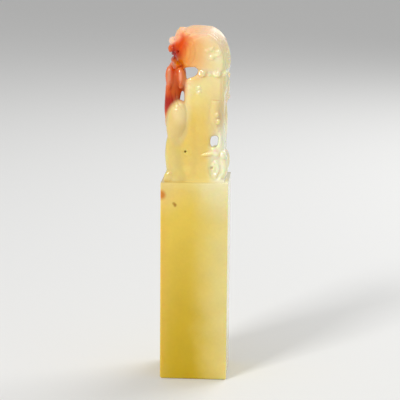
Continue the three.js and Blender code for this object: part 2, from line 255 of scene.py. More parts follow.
# Polish: how evenly the wax shines, duller beside the eyes and on the forelegs, where the cloth
# doesn't reach, and the slight waviness that rubbing by hand leaves. A dull place is given by its
# centre and reach, in millimetres.
DULL_PLACES = (
    ((-3.6, 0.0, 101.0), (4.2, 14.0, 4.8)),
    ((-6.0, 0.0, 87.0), (4.0, 9.0, 4.8)),
)
DULL_SOFTNESS = 0.4
DULL_ROUGHER = 0.3
PATCH_NOISE = (260.0, 4.0, 0.6)
PATCH_ROUGHNESS = (0.13, 0.2)
WAX_WEIGHT = 0.65
WAVE_NOISE = (420.0, 2.0, 0.5)
WAVE_STRENGTH = 0.5
WAVE_HEIGHT = 0.06 * MM
polish, _, polish_out = new_group(
    "stone_polish",
    (),
    (("Roughness", "Float"), ("Wax", "Float"), ("Normal", "Vector")),
)
place = put(polish, "TexCoord").outputs["Object"]
patchy = put(polish, "TexNoise", place, None, *PATCH_NOISE).outputs["Fac"]
patchy = put(polish, "MapRange", patchy, *NOISE_MIDDLE, *PATCH_ROUGHNESS).outputs[0]
dull = 0.0
for centre, reach in DULL_PLACES:
    spot = put(polish, "Group", node_tree=zone)
    spot.inputs["Centre"].default_value = Vector(centre) * MM
    spot.inputs["Reach"].default_value = Vector(reach) * MM
    spot.inputs["Softness"].default_value = DULL_SOFTNESS
    spot.inputs["Warp"].default_value = MM
    dull = put(polish, "Math", dull, spot.outputs[0], operation="MAXIMUM").outputs[0]
patchy = put(polish, "Math", dull, DULL_ROUGHER, patchy, operation="MULTIPLY_ADD").outputs[0]
wax = put(polish, "MapRange", dull, 0.0, 1.0, WAX_WEIGHT, 0.0).outputs[0]
polish.links.new(wax, polish_out.inputs["Wax"])
wavy = put(polish, "TexNoise", place, None, *WAVE_NOISE).outputs["Fac"]
wavy = put(polish, "Bump", WAVE_STRENGTH, WAVE_HEIGHT, None, wavy)
polish.links.new(patchy, polish_out.inputs["Roughness"])
polish.links.new(wavy.outputs[0], polish_out.inputs["Normal"])

# The block's colours, two of them partly painted light. Each zone lies over those before it, and is
# given by its colour, centre, reach, softness of edge, warp and strength, with centre, reach and warp
# in millimetres.
STONE = paint(234, 206, 86)
BLOCK_ZONES = (
    # The deep yellow low down is partly the honey core and partly painted light, the deeper colour that
    # light takes through thick stone. The paler right side is painted light, as if lit from behind and
    # the side.
    (paint(210, 178, 0), (-3.0, -8.0, 4.0), (8.0, 16.0, 32.0), 0.8, 4.0, 1.0),  # deep yellow, low down
    (paint(232, 218, 146), (15.0, -6.0, 34.0), (11.0, 16.0, 46.0), 0.6, 4.0, 1.0),  # paler, right
    (paint(226, 190, 78), (-11.5, -4.0, 34.0), (3.2, 14.0, 36.0), 0.7, 2.0, 0.8),  # left edge
    (paint(234, 208, 138), (-10.0, 0.0, 60.0), (8.0, 16.0, 7.0), 0.7, 3.0, 0.9),  # below the ledge
    (paint(242, 234, 190), (10.0, 0.0, 62.0), (10.0, 16.0, 10.0), 0.7, 3.0, 1.0),  # pale, at the back
    (paint(208, 130, 20), (-9.7, -10.0, 56.7), (1.2, 3.0, 1.2), 0.6, 0.8, 0.9),  # stain
    (paint(176, 124, 0), (-6.0, -10.0, 54.25), (0.45, 2.0, 0.4), 0.6, 0.5, 0.7),  # speck, above
    (paint(170, 112, 0), (-5.6, -10.0, 53.75), (0.45, 2.0, 0.5), 0.6, 0.5, 0.8),  # speck, below
)
# A Mix node's colour sockets, by number, because its sockets for values have the same names.
MIX_UNDER = 6
MIX_OVER = 7
MIX_RESULT = 2


def lay_zone(tree, under, colour, centre, reach, softness, warp, strength):
    """Lays a zone of another colour over the stone's colour."""
    mask = put(tree, "Group", node_tree=zone)
    mask.inputs["Centre"].default_value = Vector(centre) * MM
    mask.inputs["Reach"].default_value = Vector(reach) * MM
    mask.inputs["Softness"].default_value = softness
    mask.inputs["Warp"].default_value = warp * MM
    share = put(tree, "Math", mask.outputs[0], strength, operation="MULTIPLY").outputs[0]
    over = put(tree, "Mix", share, data_type="RGBA")
    tree.links.new(under, over.inputs[MIX_UNDER])
    over.inputs[MIX_OVER].default_value = colour
    return over.outputs[MIX_RESULT]


# Light sinks deepest into the stone in red and least in blue. Within LEDGE_FADE of the ledge, where
# shaft and lion meet, it sinks in less and less, so that no line shows there.
STONE_DEPTH = 1.7 * MM
STONE_SPREAD = (1.0, 0.62, 0.28)
STONE_SHINE = 0.15
WAX_ROUGHNESS = 0.06
LEDGE_FADE = 2.6 * MM


def soapstone(name, zones):
    """Soapstone polished with wax, coloured zone over zone, with light sinking into it."""
    material = bpy.data.materials.new(name)
    material.use_nodes = True
    tree = material.node_tree
    shader = tree.nodes["Principled BSDF"]
    colour = put(tree, "RGB")
    colour.outputs[0].default_value = STONE
    colour = colour.outputs[0]
    for layer in zones:
        colour = lay_zone(tree, colour, *layer)
    mottled = put(tree, "Group", node_tree=cloud)
    tree.links.new(colour, mottled.inputs[0])
    tree.links.new(mottled.outputs[0], shader.inputs["Base Color"])
    polished = put(tree, "Group", node_tree=polish)
    tree.links.new(polished.outputs["Roughness"], shader.inputs["Roughness"])
    tree.links.new(polished.outputs["Wax"], shader.inputs["Coat Weight"])
    tree.links.new(polished.outputs["Normal"], shader.inputs["Normal"])
    place = put(tree, "TexCoord").outputs["Object"]
    height = put(tree, "SeparateXYZ", place).outputs["Z"]
    height = put(tree, "Math", height, SHAFT_HIGH.z, operation="SUBTRACT").outputs[0]
    height = put(tree, "Math", height, operation="ABSOLUTE").outputs[0]
    clear = put(
        tree, "MapRange", height, 0.0, LEDGE_FADE, 0.0, 1.0, interpolation_type="SMOOTHSTEP"
    )
    tree.links.new(clear.outputs[0], shader.inputs["Subsurface Weight"])
    shader.inputs["Specular IOR Level"].default_value = STONE_SHINE
    shader.inputs["Subsurface Radius"].default_value = STONE_SPREAD
    shader.inputs["Subsurface Scale"].default_value = STONE_DEPTH
    shader.inputs["Coat Roughness"].default_value = WAX_ROUGHNESS
    return material


shaft.data.materials.clear()
shaft.data.materials.append(soapstone("honey_soapstone", BLOCK_ZONES))
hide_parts("shaft", "printing_face")
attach(shaft, "root")


# The lion's trunk. One block with the shaft, sawn in a little from its faces and rounded over, with
# a full belly in front, a hip and a shoulder on each flank, and a ridge of vertebrae down the back.
LEDGE = SHAFT_HIGH.z
SIDES = (-1, 1)
LUMP_CUTS = 11
SLAB_STEPS = 5
VERTEBRAE = 4
SPINE_TOP = 31.0
SPINE_STEP = 2.1
masses = []  # what the openings are cut through
details = []  # what is joined on after them
grooves = []  # what is engraved into the finished skin


def at(x, y, up):
    """A place on the figure in millimetres, with its height above the shaft's top."""
    return Vector((x * MM, y * MM, LEDGE + up * MM))


def lump(kept, x, y, up, length, width, height, roundness=1.0, lean=0.0):
    """Blocks out a mass: a cube drawn towards a ball, stretched to its sizes and leaned. Its place
    and sizes are in millimetres."""
    start_piece()
    bpy.ops.mesh.primitive_cube_add(size=1.0)
    bpy.ops.object.mode_set(mode="EDIT")
    bpy.ops.mesh.subdivide(number_cuts=LUMP_CUTS)
    bpy.ops.transform.tosphere(value=roundness)
    bpy.ops.object.mode_set(mode="OBJECT")
    mass = bpy.context.object
    bpy.context.view_layer.update()
    grown = mass.dimensions.copy()
    mass.scale = Vector((length / grown.x, width / grown.y, height / grown.z)) * MM
    mass.rotation_euler = (0.0, lean, 0.0)
    mass.location = at(x, y, up)
    settle(mass)
    kept.append(mass)
    return mass


def slab(kept, low, high, edge):
    """Blocks out a box between two corners, with its edges rounded over."""
    start_piece()
    bpy.ops.mesh.primitive_cube_add(size=1.0, location=(low + high) / 2, scale=high - low)
    mass = bpy.context.object
    settle(mass)
    bpy.ops.object.mode_set(mode="EDIT")
    bpy.ops.mesh.select_all(action="SELECT")
    bpy.ops.mesh.bevel(offset=edge * MM, segments=SLAB_STEPS, affect="EDGES")
    bpy.ops.object.mode_set(mode="OBJECT")
    kept.append(mass)


def cut_line(points, width, depth):
    """Marks out a groove through points near the surface, cut once the figure is one skin. Its
    width and depth are in millimetres."""
    grooves.append((points, width * MM, depth * MM))


slab(masses, at(-3.5, -7.9, -3.0), at(8.6, 7.9, 32.5), edge=2.0)  # trunk
slab(masses, at(-8.3, -8.4, -3.0), at(9.0, 8.4, 0.5), edge=0.5)  # foot, on the ledge
slab(masses, at(0.2, -7.4, 26.0), at(9.2, 7.4, 36.0), edge=2.0)  # neck
lump(masses, -2.6, 0.0, 10.5, 6.4, 8.6, 20.0)  # belly
lump(masses, 5.6, 0.0, 27.4, 8.4, 14.6, 15.0, roundness=0.9)  # upper back
for side in SIDES:
    lump(masses, 1.2, side * 5.2, 10.0, 11.0, 6.0, 23.0)  # flank
    lump(masses, 1.2, side * 5.3, 24.8, 10.0, 5.7, 12.0)  # shoulder
    lump(masses, -1.9, side * 6.0, 26.4, 3.8, 3.8, 6.2)  # muscle before the shoulder
    cut_line([at(8.0, side * 8.0, up) for up in (31.0, 29.0, 27.0, 25.0, 23.0)], 0.4, 0.12)
for i in range(VERTEBRAE):
    up = SPINE_TOP - SPINE_STEP * i
    lump(details, 8.75, 0.0, up, 2.2, 2.8, 2.8)
    for side in SIDES:
        fur = [at(9.9 - 0.14 * t * t, side * (1.7 + t), up + 0.9 - 0.8 * t) for t in range(4)]
        cut_line(fur, 0.42, 0.18)
# Wavy hair down the chest, and the bands across the belly.
for y in (-3.3, -2.0, -0.7, 0.7, 2.0, 3.3):
    hair = [at(-3.6, y + 0.3 * math.sin(up / 1.6 + y), up) for up in range(30, 20, -1)]
    cut_line(hair, 0.42, 0.2)
for up in (6.0, 9.0, 12.0, 15.0, 18.0):
    band = [at(-5.8 + 0.14 * y * y, y, up - 0.9 + 0.09 * y * y) for y in range(-3, 4)]
    cut_line(band, 0.45, 0.2)

# The hind legs. The lion squats, so each knee stands up in front of the flank as a smooth lobe over
# a straight shin and a broad paw with three toes. They are left standing from the block. On the
# right, what lies behind an opening is cut lower, so that the opening shows light.
HIND_SPREAD = 6.1
TOE_GAP = 1.8
RIGHT_DROP = 1.9

for side in SIDES:
    y = side * HIND_SPREAD
    drop = RIGHT_DROP if side > 0 else 0.0
    knees = masses if drop else details  # the slit is cut through the right knee alone
    lump(knees, -5.3, side * 6.0, 17.4 - drop, 6.7, 5.8, 13.8, roundness=0.93, lean=0.08)
    lump(masses, -5.8, y, 8.0, 6.5, 5.4, 16.0, roundness=0.85)  # shin
    lump(masses, -2.2, side * 5.6, 10.0, 9.6, 6.4, 17.0, roundness=0.9)  # thigh
    lump(masses, -1.6, side * 5.6, 16.6, 6.4, 5.2, 13.6, roundness=0.85)  # thigh, above
    lump(masses, -5.4, y, 1.0, 7.2, 5.8, 9.0, roundness=0.85)  # paw
    lump(masses, -2.0, side * 5.6, 3.6, 8.0, 5.6, 9.0)  # heel
    for toe in (-1, 0, 1):
        lump(details, -7.5, y + toe * TOE_GAP, 1.4, 3.2, 2.0, 3.8)  # toe
        lump(details, -8.7, y + toe * TOE_GAP, 0.6, 1.1, 0.9, 1.5)  # claw

# The forelegs. They are the red skin of the block, raised straight up in front of the chest, with the
# paws held under the chin. Each paw has two thick toes on its outer side and one more in front. The
# right one is cut slimmer, so that the slit behind the forelegs shows light.
FORE_SPREAD = 4.8
SLIMMER = 1.0
ROD_SIDES = 4
ROD_STEPS = 3
TOUCHING = 1e-6


def rod(kept, points, thickness):
    """Blocks out a limb or a lock of hair: a round rod through points, with a thickness at each,
    in millimetres."""
    start_piece()
    bpy.ops.curve.primitive_nurbs_path_add()
    curve = bpy.context.object.data
    line = curve.splines[0]
    line.points.add(len(points) - len(line.points))
    for knot, place, thick in zip(line.points, points, thickness):
        knot.co = (*place, 1.0)
        knot.radius = thick
    curve.bevel_depth = MM / 2
    curve.bevel_resolution = ROD_SIDES
    curve.resolution_u = ROD_STEPS
    curve.use_fill_caps = True
    bpy.ops.object.convert(target="MESH")
    bpy.ops.object.mode_set(mode="EDIT")
    bpy.ops.mesh.select_all(action="SELECT")
    bpy.ops.mesh.remove_doubles(threshold=TOUCHING)
    bpy.ops.mesh.normals_make_consistent(inside=False)
    bpy.ops.object.mode_set(mode="OBJECT")
    kept.append(bpy.context.object)
    settle(bpy.context.object)


for side in SIDES:
    slim = SLIMMER if side > 0 else 0.0
    y = side * FORE_SPREAD
    leg = [(-7.0, 17.6), (-7.3, 19.5), (-7.25, 22.0), (-6.95, 25.0), (-6.4, 28.5), (-6.2, 31.0)]
    thick = [width - slim for width in (4.0, 4.3, 4.6, 4.8, 5.2, 5.4)]
    lump(masses, -7.0, y, 17.4, 4.4 - slim, 4.8, 5.6)  # elbow
    for y_start, x_end in ((6.9, -8.3), (7.1, -7.0)):
        x_start = x_end + 1.2 - slim
        wisp = [at(x_start + 0.2 * t * t, side * y_start, 27.0 - 2.0 * t) for t in range(4)]
        cut_line(wisp, 0.42, 0.16)
    rod(masses, [at(x - slim / 2, y, up) for x, up in leg], thick)
    lump(masses, -6.2 - slim / 2, y, 30.8, 5.6 - slim, 5.4, 5.4)  # paw
    lump(details, -7.5, side * 6.3, 30.9, 2.9, 3.2, 7.0, lean=-0.05)  # outer toes
    lump(details, -4.3 - slim, side * 6.3, 30.8, 3.1, 3.2, 6.2, lean=-0.14)
    lump(details, -8.0, side * 3.9, 30.9, 2.4, 2.6, 6.0)  # front toe
    for x, up in ((-7.8, 28.4), (-4.4 - slim, 28.6)):
        lump(details, x, side * 7.5, up, 1.2, 1.0, 1.9)  # claw

# The head. A square lion's head with round cheeks, a short muzzle, thick brows and an open mouth.
# The chin rests on the paws, and a gap is cut right through between the jaw and the chest.
BROW_TUFTS = (
    (-4.9, 1.8, 43.6, 2.3),
    (-4.8, 3.3, 43.8, 2.4),
    (-4.2, 4.7, 43.7, 2.3),
    (-2.9, 5.7, 43.2, 2.0),
)
CHEEK_ARC_STEPS = 8

slab(masses, at(-5.4, -6.9, 34.2), at(3.5, 6.9, 44.2), edge=3.2)
lump(masses, 0.2, 0.0, 41.4, 11.6, 12.2, 8.8, roundness=0.95)  # crown
for side in SIDES:
    lump(masses, -2.7, side * 4.1, 38.9, 8.0, 6.4, 9.6, roundness=0.9)  # cheek
lump(details, -6.2, 0.0, 39.0, 4.2, 9.4, 3.3)  # muzzle
lump(details, -7.2, 0.0, 41.0, 2.6, 3.2, 2.5)  # nose
lump(details, -5.3, 0.0, 42.4, 2.6, 2.6, 3.4)  # bridge of the nose
lump(details, -4.6, 0.0, 43.7, 2.2, 2.4, 1.9)  # forehead
lump(details, -5.7, 0.0, 35.4, 4.4, 8.6, 2.9)  # lower lip
lump(details, -5.3, 0.0, 34.0, 3.8, 10.4, 3.0)  # chin
for side in SIDES:
    lump(details, -6.95, side * 2.2, 38.9, 3.2, 4.4, 3.4)  # upper lip
    lump(details, -7.1, side * 1.9, 40.8, 2.1, 2.1, 2.0)  # nostril
    lump(details, -5.1, side * 3.5, 41.5, 2.7, 3.0, 2.7)  # eye
    lid = [(-6.3, 2.0, 41.0), (-6.8, 2.9, 40.5), (-6.7, 4.1, 40.5), (-6.1, 4.8, 41.0)]
    lid.append((-5.5, 5.0, 41.6))
    rod(details, [at(x, side * y, up) for x, y, up in lid], (0.7, 1.0, 1.0, 0.9, 0.4))
    for y, long in ((0.55, 1.3), (1.6, 1.3), (2.9, 2.3)):
        lump(details, -7.5 + 0.12 * y * y, side * y, 37.5, 0.9, 0.95, long)  # tooth
    for x, y, up, size in BROW_TUFTS:
        lump(details, x, side * y, up, size, size, size * 0.9)
        cut_line([at(x - 0.8, side * (y - 0.6), up + 0.9), at(x - 0.2, side * y, up + 1.2)], 0.32, 0.2)
    ear = [(-2.4, 6.1, 42.3), (-1.0, 6.4, 43.0), (0.4, 6.4, 43.2), (1.6, 6.2, 43.2), (2.8, 5.9, 42.9)]
    rod(details, [at(x, side * y, up) for x, y, up in ear], (0.6, 1.5, 1.7, 1.2, 0.3))
    cut_line([at(x, side * 7.8, 43.1) for x in (-1.4, -0.4, 0.6, 1.4)], 0.35, 0.14)
    for y in (1.6, 3.2, 4.6, 5.8):
        swept = [(-3.4, 44.6), (-1.9, 45.2), (-0.3, 45.2), (1.4, 45.6), (3.0, 45.8)]
        cut_line([at(x, side * (y + 0.12 * x), up) for x, up in swept], 0.42, 0.2)
    hollow = [(-3.4, 6.9, 43.7), (-4.4, 6.8, 42.4), (-5.2, 6.6, 40.9), (-5.8, 6.4, 39.2)]
    cut_line([at(x, side * y, up) for x, y, up in hollow], 1.5, 0.5)
    for reach in (2.2, 3.6, 5.0):
        arc = []
        for step in range(CHEEK_ARC_STEPS + 1):
            angle = math.radians(-75 + 150 * step / CHEEK_ARC_STEPS)
            x = -4.9 + reach * math.cos(angle)
            arc.append(at(x, side * 7.4, 38.4 + reach * math.sin(angle)))
        cut_line(arc, 0.5, 0.12)
    lip = [(-8.5, 0.4, 37.4), (-8.2, 2.2, 37.2), (-7.1, 4.2, 37.3), (-6.0, 5.4, 37.8)]
    cut_line([at(x, side * y, up) for x, y, up in lip], 0.6, 0.6)
    cut_line([at(-5.6, side * 6.4, 38.3), at(-5.5, side * 6.5, 38.4)], 0.8, 1.0)
    cut_line([at(-6.8, side * 3.5, 41.6), at(-6.8, side * 3.6, 41.7)], 0.5, 0.6)
    cut_line([at(-8.3, side * 1.7, 40.5), at(-8.3, side * 1.8, 40.4)], 0.45, 0.6)
    for y, up in ((1.8, 39.3), (2.8, 39.0), (2.1, 38.4)):
        cut_line([at(-8.6, side * y, up), at(-8.6, side * y + 0.1, up)], 0.28, 0.3)

# The mane. A smooth dome of combed hair behind the cheeks, level underneath, with small round curls
# along its lower edge and a few flat curls laid on its sides and back.
MANE_CENTRE = (2.6, 35.3)
MANE_REACH = (7.36, 8.35, 10.38)
MANE_EDGE = 32.9
MANE_SIDE = 8.1
MANE_FLARE = 1.45
LOCKS = ((1.8, 7.6, 2.5), (4.1, 7.25, 1.8), (6.2, 7.65, 2.6), (8.2, 6.9, 1.8))
BACK_CURL_SEAT = 0.72
STRANDS = 17
STRAND_STEPS = 21
CURL_FLAT = 0.45
SWIRL_KNOTS = 10
SWIRL_RIM = 0.86
SWIRL_WOUND = 0.78
SHOULDER_CURLS = (
    (1.0, 7.8, 28.2, 1.4),
    (1.0, 7.8, 26.8, 1.4),
    (-1.6, 7.35, 28.3, 2.2),
    (-1.6, 7.4, 26.5, 1.9),
)

mane_size = [2 * reach for reach in MANE_REACH]
mane = lump(masses, MANE_CENTRE[0], 0.0, MANE_CENTRE[1], *mane_size, roundness=0.97)
for vertex in mane.data.vertices:
    vertex.co.y = max(-MANE_SIDE * MM, min(MANE_SIDE * MM, MANE_FLARE * vertex.co.y))
bpy.ops.object.mode_set(mode="EDIT")
bpy.ops.mesh.select_all(action="SELECT")
bpy.ops.mesh.bisect(
    plane_co=at(0, 0, MANE_EDGE), plane_no=(0.0, 0.0, 1.0), clear_inner=True, use_fill=True
)
bpy.ops.object.mode_set(mode="OBJECT")


def swirl(x, y, up, facing, size, turns=1.4, hand=1.0, start=0.0, height=None, deep=0.08, eye=None):
    """Marks out a spiral groove, wound in from its rim towards its eye, and so many millimetres
    deep for each millimetre of its size."""
    facing = Vector(facing).normalized()
    across = Vector((0, 0, 1)).cross(facing).normalized()
    upward = facing.cross(across).normalized()
    height = height or size
    centre = at(x, y, up)
    inwards = at(eye[0], y, eye[1]) - centre if eye else Vector()
    knots = round(SWIRL_KNOTS * turns)
    points = []
    for i in range(knots + 1):
        share = i / knots
        angle = start + hand * 2 * math.pi * turns * share
        reach = 0.5 * (SWIRL_RIM - SWIRL_WOUND * share) * MM
        out = across * (math.cos(angle) * size * reach)
        out += upward * (math.sin(angle) * height * reach)
        points.append(centre + out + inwards * share + facing * size * 0.5 * MM)
    cut_line(points, 0.12 * size + 0.12, deep * size)


def curl(x, y, up, facing, size, height=None, **winding):
    """Carves a curl of hair: a flat boss on the surface with a spiral groove wound into it."""
    boss = lump(details, x, y, up, size, size, height or size)
    centre = at(x, y, up)
    facing = Vector(facing).normalized()
    for vertex in boss.data.vertices:
        deep = (vertex.co - centre).dot(facing)
        vertex.co -= facing * deep * CURL_FLAT
    swirl(x, y, up, facing, size, height=height, **winding)


# The locks of the lower edge, the curls on the sides, and those along the edge and over the back.
for side in SIDES:
    for x, y, size in LOCKS:
        curl(x, side * y, 32.4, (-0.22, side, 0.45), size, hand=side, deep=0.06)
    curl(6.2, side * 7.6, 38.5, (-0.15, side, 0.4), 2.8, hand=side, deep=0.06)
    for x, up in ((3.4, 39.1), (4.7, 39.6), (4.7, 37.0)):
        curl(x, side * 8.0, up, (-0.2, side, 0.45), 1.7, hand=side, deep=0.05)
for y in (-5.3, -3.2, -1.05, 1.05, 3.2, 5.3):
    curl(8.4 - 0.04 * y * y, y, 32.2, (1, 0, 0), 2.4, hand=1 if y > 0 else -1)
for y, up in ((-3.1, 37.2), (3.1, 37.2), (0.0, 40.4)):
    x = MANE_CENTRE[0] + MANE_REACH[0] * BACK_CURL_SEAT
    curl(x, y, up, (1, 0.25 * y / 4, 0.3), 4.0, turns=1.7, hand=1 if y > 0 else -1)
# The curls of the beard.
for y in (-4.2, -2.1, 0.0, 2.1, 4.2):
    curl(-6.7 + 0.06 * y * y, y, 33.7, (-1, 0, -0.1), 2.3, turns=1.2, hand=1 if y > 0 else -1)
# Combed hair: grooves from the brow over the dome to its lower edge.
for i in range(STRANDS):
    y = MANE_SIDE * (2 * (i + 0.5) / STRANDS - 1)
    round_off = math.sqrt(1 - (y / MANE_REACH[1] / MANE_FLARE) ** 2)
    strand = []
    for step in range(STRAND_STEPS + 1):
        angle = math.radians(118 - 128 * step / STRAND_STEPS)
        x = MANE_CENTRE[0] + MANE_REACH[0] * round_off * math.cos(angle)
        up = MANE_CENTRE[1] + MANE_REACH[2] * round_off * math.sin(angle)
        strand.append(at(x, y + 0.35 * math.sin(4.2 * angle + i), up))
    cut_line(strand, 0.5, 0.2)
# The curls that fall on the shoulders, lower on the right, where they lie behind an opening.
for side in SIDES:
    drop = RIGHT_DROP if side > 0 else 0.0
    for x, y, up, size in SHOULDER_CURLS:
        curl(x, side * y, up - drop, (-0.22, side, 0.45), size, hand=side, deep=0.06)

# The tail. It leaves the rump between two scrolls of hair on the ledge, bridges a hollow that is cut
# right through behind the rump, and spreads in flames up the back, with a tuft on each flank.
THIGH_EYE = (-2.8, 9.2)
SCROLL_EYE = (5.0, 4.3)
lump(details, 7.8, 0.0, 4.4, 3.4, 9.0, 9.2)
for side in SIDES:
    curl(8.2, side * 2.1, 4.6, (1, 0, 0), 4.2, turns=1.8, hand=side, start=1.6, height=7.6)
    thigh = (-1.6, side * 7.6, 9.4)
    swirl(*thigh, (0, side, 0), 4.6, turns=1.7, hand=side, deep=0.016, eye=THIGH_EYE)
# The scroll on the ledge with its pointed leaf, the lumps round the hollow, the tuft and the flames.
for side in SIDES:
    drop = RIGHT_DROP if side > 0 else 0.0
    winding = {"turns": 2.2, "hand": -side, "start": 2.2, "eye": SCROLL_EYE}
    curl(6.8, side * 6.2, 4.4, (0, side, 0), 6.0, height=9.0, **winding)
    leaf = [(6.8, 8.2), (5.7, 8.9), (4.4, 8.7), (3.2, 8.2), (1.6, 7.9)]
    rod(details, [at(x, side * 7.95, up - drop) for x, up in leaf], (1.4, 1.7, 1.6, 1.2, 0.5))
    lump(details, 5.7, side * 7.3, 9.8 - drop, 2.6, 2.0, 1.5, lean=0.2)
    lump(details, 8.2, side * 6.6, 8.0 - drop, 2.2, 3.2, 3.0)
    tuft = [(6.0, 24.2), (5.9, 21.6), (5.8, 18.8), (6.1, 16.4), (7.2, 13.9)]
    rod(details, [at(x, side * 6.8, up) for x, up in tuft], (3.4, 4.4, 4.8, 4.0, 1.4))
    for x, up in ((6.3, 20.3), (6.7, 18.3)):
        curl(x, side * 8.8, up, (-0.2, side, 0.45), 1.6, hand=side, height=1.8, deep=0.05)
    for x in (7.2, 7.9):
        strand = [(x, 21.8), (x + 0.25, 20.2), (x + 0.2, 18.4), (x - 0.3, 16.8), (x - 1.0, 15.4)]
        cut_line([at(x, side * 8.7, up) for x, up in strand], 0.42, 0.2)
    for bend in (0.0, 0.9):
        wisp = [(5.9 + bend, 15.6 - bend), (7.2 + bend, 16.6 - bend), (8.1 + bend / 2, 18.2 - bend)]
        cut_line([at(x, side * 8.3, up) for x, up in wisp], 0.4, 0.16)
    flames = (
        ((8.2, 1.6, 9.6), (8.1, 2.7, 13.0), (7.8, 2.5, 17.0), (8.1, 3.2, 20.4), (8.6, 2.3, 24.0)),
        ((8.0, 3.4, 9.0), (8.0, 5.0, 12.4), (7.5, 4.8, 15.8), (7.7, 5.7, 18.4), (7.9, 5.0, 21.6)),
    )
    for flame in flames:
        rod(details, [at(x, side * y, up) for x, y, up in flame], (1.4, 1.9, 2.9, 2.2, 0.4))
        for aside in (-0.45, 0.45):
            cut_line([at(x + 1.6, side * (y + aside), up) for x, y, up in flame], 0.34, 0.2)
flame = [(8.2, 0.0, 8.0), (8.1, 0.5, 12.5), (7.8, -0.5, 16.5), (8.2, 0.3, 20.0), (8.6, 0.0, 23.5)]
rod(details, [at(*place) for place in flame], (1.6, 2.1, 3.1, 2.3, 0.5))
for aside in (-0.45, 0.45):
    cut_line([at(x + 1.7, y + aside, up) for x, y, up in flame], 0.36, 0.22)

# The carving. The masses are one stone, so they are joined into one skin, the openings are cut right
# through, the grooves and drill holes are cut in, and the whole is rubbed smooth with wax. An opening
# is given by its outline on the left flank, and by how far it has moved at the right flank.
ROUGH_GRAIN = 0.36 * MM
ROUGH_RUBS = 16
STONE_GRAIN = 0.18 * MM
STONE_RUBS = 4
RUB = 0.5
SKIN_FACES = 190000
FOOT = -0.4
BLOCK = np.array(cad_box)
FLANK = 8.0
OVERSHOOT = 0.25
TAIL_HOLLOW = ((4.5, 10.6), (6.6, 10.6), (7.0, 13.8), (6.6, 14.1), (5.0, 14.0), (4.5, 13.4))
JAW_GAP = (
    ((-2.4, 30.7), (-1.2, 31.2), (0.0, 31.5), (0.85, 32.9), (0.6, 34.0), (-1.4, 34.2))
    + ((-3.3, 33.8), (-3.8, 31.0), (-4.2, 28.8), (-3.5, 28.6), (-3.2, 29.8))
)
LEG_SLIT = ((-3.25, 29.2), (-3.8, 28.8), (-4.2, 26.3), (-4.75, 23.6), (-3.25, 23.6))
OPENINGS = ((TAIL_HOLLOW, (-0.8, -2.6)), (JAW_GAP, (-1.0, -1.9)), (LEG_SLIT, (-1.1, -2.1)))
DRILLED = (THIGH_EYE, SCROLL_EYE)
DRILL_WIDTH = 0.6
DRILL_LENGTH = 8.0
DRILL_SIDES = 16
DRILL_END = 6.4
GROOVE_STOPS = 0.3
GROOVE_ENDS = 0.35
GROOVE_SWELL = 3.0


def finish_with(piece, kind, **settings):
    """Adds a modifier to a piece and applies it."""
    bpy.context.view_layer.objects.active = piece
    modifier = piece.modifiers.new(kind.title(), kind)
    for name, value in settings.items():
        setattr(modifier, name, value)
    bpy.ops.object.modifier_apply(modifier=modifier.name)


def join_all(kept, grain):
    """Joins masses into one skin of even small faces."""
    start_piece()
    for mass in kept:
        mass.select_set(True)
    bpy.context.view_layer.objects.active = kept[0]
    bpy.ops.object.join()
    figure = bpy.context.object
    kept.clear()
    finish_with(figure, "REMESH", mode="VOXEL", voxel_size=grain)
    return figure


def cut_with(figure, tool):
    """Takes a tool's shape out of the figure."""
    finish_with(figure, "BOOLEAN", object=tool, operation="DIFFERENCE", solver="EXACT")
    bpy.data.objects.remove(tool)


def cut_opening(figure, outline, slope):
    """Cuts an opening straight through the figure, from before its left flank to past its right."""
    start_piece()
    bpy.ops.mesh.primitive_circle_add(vertices=len(outline), fill_type="NGON")
    tool = bpy.context.object
    for vertex, (x, up) in zip(tool.data.vertices, outline):
        before = (x - OVERSHOOT * slope[0], up - OVERSHOOT * slope[1])
        vertex.co = at(before[0], -(1 + 2 * OVERSHOOT) * FLANK, before[1])
    through = Vector((slope[0], 2 * FLANK, slope[1])) * (1 + 2 * OVERSHOOT) * MM
    bpy.ops.object.mode_set(mode="EDIT")
    bpy.ops.mesh.select_all(action="SELECT")
    bpy.ops.mesh.extrude_region_move(TRANSFORM_OT_translate={"value": through})
    bpy.ops.mesh.select_all(action="SELECT")
    bpy.ops.mesh.normals_make_consistent(inside=False)
    bpy.ops.object.mode_set(mode="OBJECT")
    cut_with(figure, tool)


def engrave(figure, marks):
    """Cuts marked grooves into the skin. Each is rounded off at its turns, laid on the surface, and
    cut deepest along its middle line, thinning out towards its ends."""
    mesh = figure.data
    count = len(mesh.vertices)
    spots = np.empty(count * 3)
    normals = np.empty(count * 3)
    mesh.vertices.foreach_get("co", spots)
    mesh.vertices.foreach_get("normal", normals)
    spots = spots.reshape(-1, 3)
    normals = normals.reshape(-1, 3)
    cut = np.zeros(count)
    for points, width, depth in marks:
        legs = np.array([(b - a).length for a, b in zip(points, points[1:])])
        walked = np.concatenate(([0.0], np.cumsum(legs)))
        steps = max(2, round(walked[-1] / (GROOVE_STOPS * width)))
        stops = np.linspace(0.0, walked[-1], steps + 1)
        tracks = [np.interp(stops, walked, [point[axis] for point in points]) for axis in range(3)]
        line = np.stack(tracks, 1)
        # The further apart the points are, the more often the line is evened out.
        for _ in range((steps // len(legs)) ** 2 // 3):
            line[1:-1] = (line[:-2] + 2 * line[1:-1] + line[2:]) / 4
        line = np.array([figure.closest_point_on_mesh(stop)[1] for stop in line])
        to_end = np.minimum(stops, stops[::-1]) / walked[-1]
        taper = np.minimum(1.0, GROOVE_ENDS + GROOVE_SWELL * to_end)
        inside = (spots > line.min(0) - width) & (spots < line.max(0) + width)
        near = np.all(inside, axis=1).nonzero()[0]
        gaps = np.linalg.norm(spots[near, None] - line[None], axis=2) / width
        bite = depth * taper * (1.0 - np.minimum(gaps, 1.0) ** 2) ** 2
        cut[near] = np.maximum(cut[near], bite.max(axis=1))
    spots -= normals * cut[:, None]
    mesh.vertices.foreach_set("co", spots.ravel())
    mesh.update()


